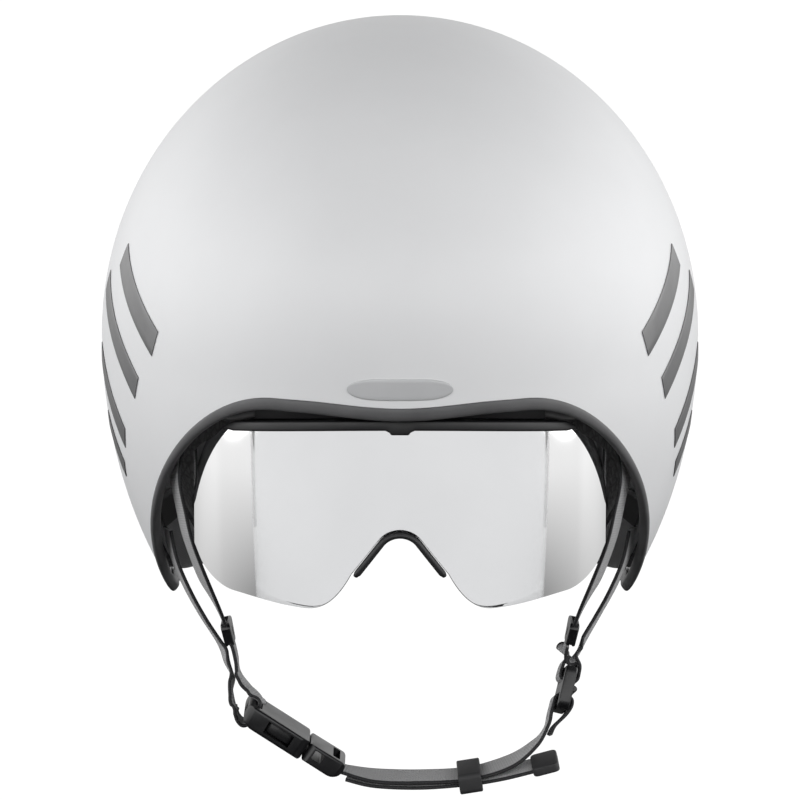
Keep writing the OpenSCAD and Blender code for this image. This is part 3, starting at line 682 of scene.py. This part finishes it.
ss = np.concatenate([np.linspace(-52, -2.6, 46), np.linspace(-2.4, 2.4, 13), np.linspace(2.6, 52, 46)])
rings = []
for s in ss:
    tip = smooth((3.0 - abs(s)) / 0.8)
    top_z = float(lens_upper(LENS_A * np.sin(rad(s)))) + 0.8
    low = top_z - 3.6 - 1.6 * float(tip)
    low += 1.6 * (1 - float(smooth((52 - abs(s)) / 4)))
    h = top_z - 8.6
    prof = [(0.25, low + 0.15), (0.65, low), (0.98, low + 0.25), (1.05, low + 0.7), (1.05, 8.0 + h),
            (0.9, 8.4 + h), (0.5, 8.58 + h),
            (-4, 8.6 + h), (-8.2, 8.6 + h), (-8.55, 8.5 + h), (-8.6, 8.3 + h), (-8.5, 8.1 + h),
            (-8.2, 8.0 + h), (-4, 8.0 + h),
            (0.1, 8.0 + h), (0.25, 7.9 + h)]
    rings.append([on_lens(s, a, z) for a, z in prof])
top_frame = loft("visor_top_strip", np.array(rings), sharp=60)
dress(top_frame, "black_plastic", "visor", ["visor_frame"])

rings = []
for u in np.linspace(-1, 1, 97):
    x = NOSE * u
    end = 1 - 0.35 * smooth((abs(u) - 0.95) / 0.05)
    ring = []
    for a in np.linspace(0, 2 * math.pi, 17)[:-1]:
        q = in_arch(x, 1.6 + 1.3 * end * math.cos(a))
        ring.append(on_lens(lens_s(q[0]), -1.9 - 2.9 * end * math.sin(a), q[1]))
    rings.append(ring)
nose = loft("nose_bumper_rubber", np.array(rings))
dress(nose, "nose_rubber", "visor", ["nose_bumper"])

ss = np.linspace(-44, 44, 61)
dock = loft("visor_dock_strip", np.array([[on_lens(s, a, z) for a, z in
            ((-9.2, 12.1), (-8.8, 11.6), (-5.2, 11.5), (-1.6, 11.6), (-1.2, 12.1), (-1.2, 16.9),
             (-1.6, 17.3), (-5.2, 17.4), (-8.8, 17.3), (-9.2, 16.9))] for s in ss]), sharp=60)
gasket = []
for s in np.linspace(-42, 42, 71):
    z = float(lens_upper(LENS_A * np.sin(rad(s)))) + 1.4
    gasket.append([on_lens(s, a, q) for a, q in
                   ((-1.3, z + 0.25), (-1.3, 12.2), (-2.3, 12.2), (-2.3, z + 0.25), (-2.1, z + 0.03),
                    (-1.5, z + 0.03))])
dock = join("visor_dock_strip", [dock, loft("gasket", np.array(gasket), sharp=60)])
dress(dock, "black_plastic", replaces=["visor_dock"])

# ------------------------------------------------------------------ lining and pads
def slab(name, fs, ws, fn, near, far):
    """A soft slab over a surface: near is the back, far the visible side, with a rolled edge."""
    nf, nw = len(fs), len(ws)
    uu, vv = np.linspace(-1, 1, nf), np.linspace(-1, 1, nw)
    swell = np.sqrt(np.clip(1 - np.abs(uu) ** 5, 0, 1))[:, None] * np.sqrt(np.clip(1 - np.abs(vv) ** 5, 0,
            1))[None]
    G, W = np.meshgrid(fs, ws, indexing="ij")
    edge_off = near + (far - near) * 0.15
    vis = fn(G, W, edge_off + (far - edge_off) * swell)
    hid = fn(G, W, near * np.ones_like(G))
    rings = np.concatenate([vis, hid[:, ::-1]], 1)
    return loft(name, rings)


def add_pad(ob, node):
    dress(ob, "pad", replaces=[node])
    return ob


def inner_pad(name, f0, f1, t0, t1, node, nf=61, nt=31, quilt=0):
    def fn(f, t, off):
        if quilt:
            groove = np.exp(-((np.mod((f - f0) / (f1 - f0) * quilt, 1.0) - 0.5) / 0.05) ** 2)
            off = off - 1.3 * groove * (off > 1)
        return on_inner(f, t, off)
    ob = slab(name, np.linspace(f0, f1, nf), np.linspace(t0, t1, nt), fn, 0.3, 4.0)
    return add_pad(ob, node)


inner_pad("brow_pad_cloth", -38, 38, 79, 90.5, "brow_pad", 121, 25, 5)
inner_pad("temple_pad_right_cloth", 50, 84, 78, 93, "temple_pad_right", 61, 25, 3)
inner_pad("temple_pad_left_cloth", -84, -50, 78, 93, "temple_pad_left", 61, 25, 3)
inner_pad("cheek_pad_right_cloth", 78, 104, 129, 138, "cheek_pad_right", 51, 25, 2)
inner_pad("cheek_pad_left_cloth", -104, -78, 129, 138, "cheek_pad_left", 51, 25, 2)


def crown_fn(a, b, off):
    d = np.stack([np.sin(rad(b)), np.sin(rad(a)) * np.cos(rad(b)), np.cos(rad(a)) * np.cos(rad(b))], -1)
    groove = np.exp(-((np.mod((a + 58) / 102 * 6, 1.0) - 0.5) / 0.04) ** 2)
    off = off - 1.2 * groove * (off > 1)
    return C + (ray(d, HEAD_SIDE, HEAD_LONG, HEAD_ABOVE) - off)[..., None] * d


crown = slab("crown_pad_cloth", np.linspace(-58, 44, 121), np.linspace(9, -9, 25), crown_fn, 0.3, 4.0)
add_pad(crown, "crown_pad")

for side, sgn in (("right", 1), ("left", -1)):
    fs = np.linspace(56, 92, 60) * sgn
    if sgn < 0:
        fs = fs[::-1]
    ob = slab("lobe_lining_%s_cloth" % side, fs, np.linspace(0.9, 0.14, 21), on_face, 0.25, 1.05)
    dress(ob, "lining", replaces=["lobe_lining_" + side])

# ------------------------------------------------------------------ webbing
def lock_at(x, z):
    return [61.6 + 0.9703 * x + 0.2313 * z, -21 + 0.2924 * z, -106.4 - 0.2419 * x + 0.9279 * z]


def clip_at(x, z):
    return [-58 + 0.8387 * x + 0.5446 * z, -27, -111.5 - 0.5446 * x + 0.8387 * z]


def flip(p):
    return [[-q[0], q[1], q[2]] for q in p]


LOCK_FLAT, FLAT, ACROSS = [-0.07, 0.96, -0.28], [0, 0.99, 0.13], [0, 1, 0]
LEAN_F, LEAN_R = [0.27, 0.96, 0], [0.22, 0.97, 0]
FRONT = [[80.5, -52, -8.5], [82.2, -50.5, -21], [80.3, -46.5, -34], [77.6, -42, -47], [72, -34, -64],
         [67.3, -24.8, -75.9], [65.4, -21.6, -80.6]]
REAR = [[86.8, -11.5, -47], [84.5, -11.5, -58], [79.5, -11, -70], [73.8, -11, -80.5]]
REAR_R = REAR + [[69, -13, -88.5], [66.8, -15.6, -92.6], lock_at(0.9, 12.2), lock_at(2.9, 9.5),
                 lock_at(3.3, 6.5),
                 lock_at(3.2, 4.2), lock_at(2.2, 3.2), lock_at(0.1, 3.1)]
REAR_L = flip(REAR) + [[-67.6, -12.6, -90], [-64.9, -15, -95.5], [-63.1, -18.5, -100.5],
                       [-63.1, -22.5, -105.5], [-62.4, -25.8, -110],
                       [-61.5, -26.9, -112.2], clip_at(-1.9, -3.2), clip_at(0.2, -4.9), clip_at(2.6, -5.5),
                       clip_at(4.2, -4), clip_at(4.2, -0.4)]
LOW_R = [[62.6, -19.8, -88], [61.9, -18.7, -92.7], lock_at(-1.6, 12.2), lock_at(-2.9, 9.5),
         lock_at(-3.3, 6.5), lock_at(-3.2, 4.2),
         lock_at(-2.2, 3.2), lock_at(0.1, 3.1)]
LOW_L = [[-63.4, -19.8, -87.6], [-62.4, -19.8, -89.6], [-61.2, -19.8, -95], [-60.6, -19.8, -100],
         [-58, -21.8, -104], [-54.3, -25, -107.6],
         clip_at(4.2, 4.2), clip_at(4.2, 0.4)]
CHIN = [[-21.5, -27, -135.4], [-9, -28, -137.8], [8, -29, -138], [26, -30, -136.6], [41, -29, -132.2],
        [50.4, -27.4, -125.6],
        [54.8, -25.4, -119.6], lock_at(-3.4, -10), lock_at(-3.3, -6.5), lock_at(-3.2, -4.2),
        lock_at(-2.2, -3.2), lock_at(0, -3.1),
        lock_at(2.2, -3.2), lock_at(3.2, -4.2), lock_at(3.3, -6.5), lock_at(2, -9.8), [57.4, -25.2, -119.6],
        [55.8, -26, -122.6]]
TAIL = [[-19.5, -27, -138.2], [-9, -28.2, -139.5], [8, -29.2, -139.9], [26, -30.2, -138.3],
        [38, -31, -136.2], [48.6, -32, -133.4], [50.5, -32.2, -132.9]]


def web(name, p, w, node, body="helmet"):
    return dress(strap(name, p, w), "webbing", body, [node])


web("webbing_front_right_weave", FRONT, [LEAN_F] * 5 + [[0.1, 1, 0]] * 2, "webbing_front_right")
web("webbing_front_left_weave", flip(FRONT), flip([LEAN_F] * 5 + [[0.1, 1, 0]] * 2), "webbing_front_left")
web("webbing_rear_right_weave", REAR_R, [LEAN_R] * 5 + [[0.1, 1, 0]] + [LOCK_FLAT] * 6, "webbing_rear_right")
web("webbing_rear_left_weave", REAR_L, flip([LEAN_R] * 6) + [ACROSS] * 9, "webbing_rear_left")
web("webbing_lower_right_weave", LOW_R, [ACROSS] * 2 + [LOCK_FLAT] * 6, "webbing_lower_right")
web("webbing_lower_left_weave", LOW_L, [ACROSS] * 8, "webbing_lower_left")
chin = web("chin_webbing_weave", CHIN, [ACROSS] + [FLAT] * 4 + [ACROSS] + [LOCK_FLAT] * 12, "chin_webbing",
           None)
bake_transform(chin)
tail = web("strap_tail_weave", TAIL, [ACROSS] + [FLAT] * 6, "strap_tail", None)
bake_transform(tail)

# ------------------------------------------------------------------ buckle and fittings
AT = Matrix.Translation((-0.058, -0.027, -0.1115)) @ Matrix.Rotation(rad(33), 4, "Y")


def cutbox(lo, hi, r=0.4):
    return rounded("cut", lo, hi, r, 0, 2, 3)


def drawn_out(name, corners, axis, far, turn, edge, segments):
    """A flat outline drawn out along an axis. Edges that turn by more than this (radians) are softened."""
    bm = bmesh.new()
    face = bm.faces.new([bm.verts.new(c) for c in corners])
    ext = bmesh.ops.extrude_face_region(bm, geom=[face])
    for v in [g for g in ext["geom"] if isinstance(g, bmesh.types.BMVert)]:
        v.co[axis] = far
    bmesh.ops.recalc_face_normals(bm, faces=bm.faces)
    sharp = [e for e in bm.edges if e.calc_face_angle(0) > turn]
    bmesh.ops.bevel(bm, geom=sharp, offset=edge, segments=segments, affect="EDGES", profile=0.5)
    for v in bm.verts:
        v.co /= 1000.0
    me = bpy.data.meshes.new(name)
    bm.to_mesh(me)
    bm.free()
    ob = bpy.data.objects.new(name, me)
    bpy.context.scene.collection.objects.link(ob)
    return ob


def extruded(name, pts, y0, y1, edge):
    """A side profile in x and z, drawn out along y."""
    return drawn_out(name, [(x, y0, z) for x, z in pts], 1, y1, 1.0, edge, 4)


def arc(cx, cz, r, a0, a1, n=8):
    return [(cx + r * math.cos(rad(a)), cz + r * math.sin(rad(a))) for a in np.linspace(a0, a1, n)]


SOCK = arc(5.9, 1.8, 5.9, 180, 270, 12) + [(27, -4.1), (27, 4)] + arc(2.2, 1.8, 2.2, 95, 172, 5)
sock = extruded("buckle_socket_shell", SOCK, -12.5, 12.5, 1.1)
carve(sock, [rounded("plan", (-0.2, -12.6, -6), (27.2, 12.6, 6), 4.5, 0, 2, 8)], "INTERSECT")
carve(sock, [cutbox((2.8, -8.2, -6), (5.6, 8.2, 6), 0.8), cutbox((8, -9.7, -2.4), (28, 9.7, 2.4), 0.6),
             cutbox((9.9, -15, -2.4), (20.9, -8, 2.4), 0.8), cutbox((9.9, 8, -2.4), (20.9, 15, 2.4), 0.8),
             rod("cut", (17, 0, 3.4), (17, 0, 6), 4.5, 48)])
place(finish_hard(sock), AT)
dress(sock, "buckle", replaces=["buckle_socket"])

PLUG = [(27.4, 3.6), (27.4, -3.6)] + arc(38.6, 1.2, 4.8, 270, 350, 9) + arc(41.2, 1.8, 2.0, 0, 88, 6)
plug = extruded("buckle_plug_body", PLUG, -11, 11, 0.9)
carve(plug, [rounded("plan", (27.2, -11.1, -6), (43.6, 11.1, 6), 3.4, 0, 2, 8)], "INTERSECT")
tongue = rounded("tongue", (11, -2.5, -1.8), (28, 2.5, 1.8), 1.2, 0.4, 2, 4)
carve(plug, [tongue], "UNION")
carve(plug, [cutbox((37.1, -8.2, -6), (40.1, 8.2, 6), 0.8),
             rounded("cut", (30.4, -16, -1.1), (34.4, 16, 2.3), 0.5, 0, 1, 3),
             cutbox((26.7, -9.4, -2.2), (30.1, -5.8, 2.2), 0.3),
             cutbox((26.7, 5.8, -2.2), (30.1, 9.4, 2.2), 0.3)])
place(finish_hard(plug), AT)
dress(plug, "buckle", "plug", ["buckle_plug"])

for side, name in ((-1, "front"), (1, "rear")):
    pts = [(9.6, -0.6), (10.6, -1.6), (20, -1.3), (28.9, -1.0)] + arc(28.9, 0, 1.05, -75, 75,
            9) + [(21.4, 0.7), (20.3, 1.55), (19.4, 1.7), (15.5, 1.62), (11.6, 1.7), (10.3, 1.2), (9.6, 0.4)]
    pts = [(x, side * (7.6 + y)) for x, y in pts]
    if side > 0:
        pts = pts[::-1]
    pr = drawn_out("prong_%s_arm" % name, [(x, y, -1.9) for x, y in pts], 2, 1.9, 0.9, 0.25, 2)
    place(finish_hard(pr), AT)
    dress(pr, "buckle", name + "_prong", ["prong_" + name])

# ladder lock
LOCK = Matrix.Translation((0.0616, -0.021, -0.1064)) @ Matrix.Rotation(rad(14), 4,
        "Y") @ Matrix.Rotation(rad(-17), 4, "X")
lock = rounded("ladder_lock_frame", (-2.3, -12, -8.25), (2.3, 12, 8.25), 3.0, 0.9, 0, 6)
carve(lock, [rod("lip", (2.6, -9.5, 0), (2.6, 9.5, 0), 1.2, 32)], "UNION")
carve(lock, [rounded("cut", (-6, -8.2, z - 1.3), (6, 8.2, z + 1.3), 0.6, 0, 0, 3) for z in (-3.4, 3.4)])
place(finish_hard(lock), LOCK)
dress(lock, "buckle", replaces=["ladder_lock"])


def wedge(name):
    """Strap divider: a rounded wedge with a dimple each side and a slot above and below."""
    pts = []
    for (cx, cy), a0 in (((8, 2.5), 0), ((-8, 2.5), 90), ((-5.5, -2.5), 180), ((5.5, -2.5), 270)):
        for k in range(7):
            a = rad(a0 + 15 * k)
            pts.append((cx + 2 * math.cos(a), cy + 2 * math.sin(a)))
    ob = drawn_out(name, [(-1.8, x, z) for x, z in pts], 0, 1.8, 0.9, 0.6, 3)
    cuts = []
    for sx in (-1, 1):
        me = bpy.data.meshes.new("ball")
        b2 = bmesh.new()
        bmesh.ops.create_uvsphere(b2, u_segments=32, v_segments=16, radius=0.002)
        b2.to_mesh(me)
        b2.free()
        me.transform(Matrix.Translation((0.0027 * sx, 0, 0)))
        o = bpy.data.objects.new("ball", me)
        bpy.context.scene.collection.objects.link(o)
        cuts.append(o)
    cuts.append(rounded("cut", (-0.8, -8.6, 2.6), (0.8, 7.2, 9), 0.3, 0, 0, 2))
    cuts.append(rounded("cut", (-0.8, -6.9, -9), (0.8, 6.9, -2.6), 0.3, 0, 0, 2))
    carve(ob, cuts)
    return finish_hard(ob)


for side, x, z, a in (("right", 64.2, -84.5, 12), ("left", -64.2, -84.5, -12)):
    ob = place(wedge("divider_%s_clip" % side), Matrix.Translation((x / 1000, -0.02,
            z / 1000)) @ Matrix.Rotation(rad(a), 4, "Y"))
    dress(ob, "buckle", replaces=["divider_" + side])

KEEP = Matrix.Translation((0.026, -0.0301, -0.1374)) @ Matrix.Rotation(rad(-9), 4,
        "Y") @ Matrix.Rotation(rad(7), 4, "X")
keep = rounded("strap_keeper_band", (-4.3, -9.8, -3.9), (4.3, 9.8, 3.9), 2.0, 0.55, 0, 6)
carve(keep, [rounded("cut", (-6, -8.1, -2.1), (6, 8.1, 2.1), 0.5, 0, 0, 3)])
place(finish_hard(keep), KEEP)
dress(keep, "soft_rubber", "keeper", ["strap_keeper"])

TAB = Matrix.Translation((0.054, -0.0324, -0.132)) @ Matrix.Rotation(rad(-15), 4,
        "Y") @ Matrix.Rotation(rad(7), 4, "X")
tab = rounded("end_tab_grip", (-5, -8.5, -1.7), (5, 8.5, 1.7), 2.0, 0.6, 2, 6)
carve(tab, [rod("cut", (x, -10, 1.9), (x, 10, 1.9), 0.5, 16) for x in (-1.6, 0.4, 2.4)])
place(finish_hard(tab), TAB)
dress(tab, "soft_rubber", replaces=["end_tab"])

# ------------------------------------------------------------------ nape cradle
for side, sg in (("left", -1), ("right", 1)):
    G = np.linspace(-1, 1, 31)
    X, Z = np.meshgrid(G, G, indexing="ij")
    # rounded square mapped from a disc-like grid, crowned towards the head
    sx = X * np.sqrt(np.clip(1 - Z ** 2 * 0.28, 0, 1)) * 11
    sz = Z * np.sqrt(np.clip(1 - X ** 2 * 0.28, 0, 1)) * 11
    swell = np.sqrt(np.clip(1 - np.abs(X) ** 5, 0, 1)) * np.sqrt(np.clip(1 - np.abs(Z) ** 5, 0, 1))
    vis = np.stack([sg * 14 + sx, 97.3 - 2.9 * swell, -10.5 + sz], -1)
    hid = np.stack([sg * 14 + sx, 97.7 + 0 * sx, -10.5 + sz], -1)
    ob = loft("nape_pad_%s_cloth" % side, np.concatenate([vis, hid[:, ::-1]], 1))
    add_pad(ob, "nape_pad_" + side)

for side, sg in (("left", -1), ("right", 1)):
    z0 = -10.5 - sg * 6.8
    p = [[44.9, 101.6, z0], [48.6, 91, -11], [51, 79, -12.2], [58.8, 64, -12], [67.5, 44, -10],
         [73.2, 28, -3], [75.4, 20, 4]]
    w = [[0, 0, 1], [0, 0, 1], [0, 0, 1], [0, 0.1, 1], [0, 0.4, 1], [0, 0.6, 1], [0, 1, 0.6]]
    ob = strap("fit_band_" + side, p if sg > 0 else flip(p), w, 10, 8, 1.2)
    dress(ob, "black_plastic", None, ["band_" + side])
    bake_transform(ob)

# ------------------------------------------------------------------ carried-over CAD pieces
SLOTS = {s["node"]: s["material_slot"] for s in frame["record"]["subparts"]}
for name, ob in nodes.items():
    if ob.hide_render:
        continue
    for i in range(len(ob.material_slots)):
        ob.material_slots[i].material = MAT[SLOTS.get(name, "black_plastic")]

# ------------------------------------------------------------------ stage, light and camera
bm = bmesh.new()
bmesh.ops.create_circle(bm, cap_ends=True, segments=96, radius=14.0)
me = bpy.data.meshes.new("floor")
bm.to_mesh(me)
bm.free()
me.transform(Matrix.Translation((0, 0, FLOOR_Z)))
floor = bpy.data.objects.new("floor", me)
bpy.context.scene.collection.objects.link(floor)
back_me = bpy.data.meshes.new("backdrop")
back_me.from_pydata([(-14, 8, FLOOR_Z), (14, 8, FLOOR_Z), (14, 8, 8), (-14, 8, 8)], [], [(0, 1, 2, 3)])
back = bpy.data.objects.new("backdrop", back_me)
bpy.context.scene.collection.objects.link(back)
m, nt, b = tree("floor_pale")
b.inputs["Base Color"].default_value = (0.02, 0.02, 0.02, 1)
b.inputs["Roughness"].default_value = 0.9
b.inputs["Emission Color"].default_value = (1, 1, 1, 1)
b.inputs["Emission Strength"].default_value = 1.0
for me_, ob_ in ((me, floor), (back_me, back)):
    me_.materials.append(m)
    ob_.visible_diffuse = False
    ob_.visible_glossy = False

world = bpy.data.worlds.new("studio")
bpy.context.scene.world = world
world.use_nodes = True
wt = world.node_tree
wt.nodes.clear()
wo = wt.nodes.new("ShaderNodeOutputWorld")
bg = wt.nodes.new("ShaderNodeBackground")
wt.links.new(bg.outputs[0], wo.inputs[0])
tc = wt.nodes.new("ShaderNodeTexCoord")
sp = wt.nodes.new("ShaderNodeSeparateXYZ")
wt.links.new(tc.outputs["Generated"], sp.inputs[0])
X, Y, Z = sp.outputs
side_l = span(wt, maths(wt, "ABSOLUTE", X), 0, 1, 0.3, 0.9)
ahead = span(wt, maths(wt, "ADD", maths(wt, "MULTIPLY", Y, -0.97), maths(wt, "MULTIPLY", Z, 0.25)), 0, 1,
             0.45, 1.0)
topd = span(wt, Z, 1, 0.07, 0.28, 0.75)
lowd = span(wt, Z, 0.02, 1, -0.05, 0.28)
lum = maths(wt, "MULTIPLY", maths(wt, "ADD", 0.13, maths(wt, "MULTIPLY", ahead, 2.95)), lowd)
flank = maths(wt, "MULTIPLY", maths(wt, "MULTIPLY", side_l, 1.6), span(wt, Z, 0.1, 1, -0.33, 0.06))
behind = maths(wt, "MULTIPLY", span(wt, Y, 0, 0.9, 0.3, 1.0), span(wt, Z, 0.1, 1, -0.3, 0.1))
lum = maths(wt, "MULTIPLY", maths(wt, "ADD", maths(wt, "ADD", lum, flank), behind), topd)
wt.links.new(lum, bg.inputs["Strength"])
bg.inputs["Color"].default_value = (1, 1, 1, 1)


def area(name, loc, at, size, energy):
    d = bpy.data.lights.new(name, "AREA")
    d.shape, d.size, d.size_y, d.energy = "RECTANGLE", size[0], size[1], energy
    o = bpy.data.objects.new(name, d)
    bpy.context.scene.collection.objects.link(o)
    o.location = loc
    o.rotation_euler = (Vector(at) - Vector(loc)).to_track_quat("-Z", "Y").to_euler()
    return o


area("softbox_left", (-1.6, 0.2, 0.5), (0, 0, 0.02), (1.8, 1.6), 8)
area("softbox_right", (1.6, 0.2, 0.5), (0, 0, 0.02), (1.8, 1.6), 10)

bpy.context.scene.view_settings.view_transform = "Standard"
cam = bpy.data.cameras.new("camera")
cam.sensor_width = 36
cam.lens = 240
cam.clip_end = 50
co = bpy.data.objects.new("camera", cam)
bpy.context.scene.collection.objects.link(co)
el = rad(CAMERA_UP)
co.location = (0, -CAMERA_AWAY * math.cos(el), CAMERA_AWAY * math.sin(el))
co.rotation_euler = (Vector((0, 0, 0)) - co.location).to_track_quat("-Z", "Y").to_euler()
bpy.context.scene.camera = co
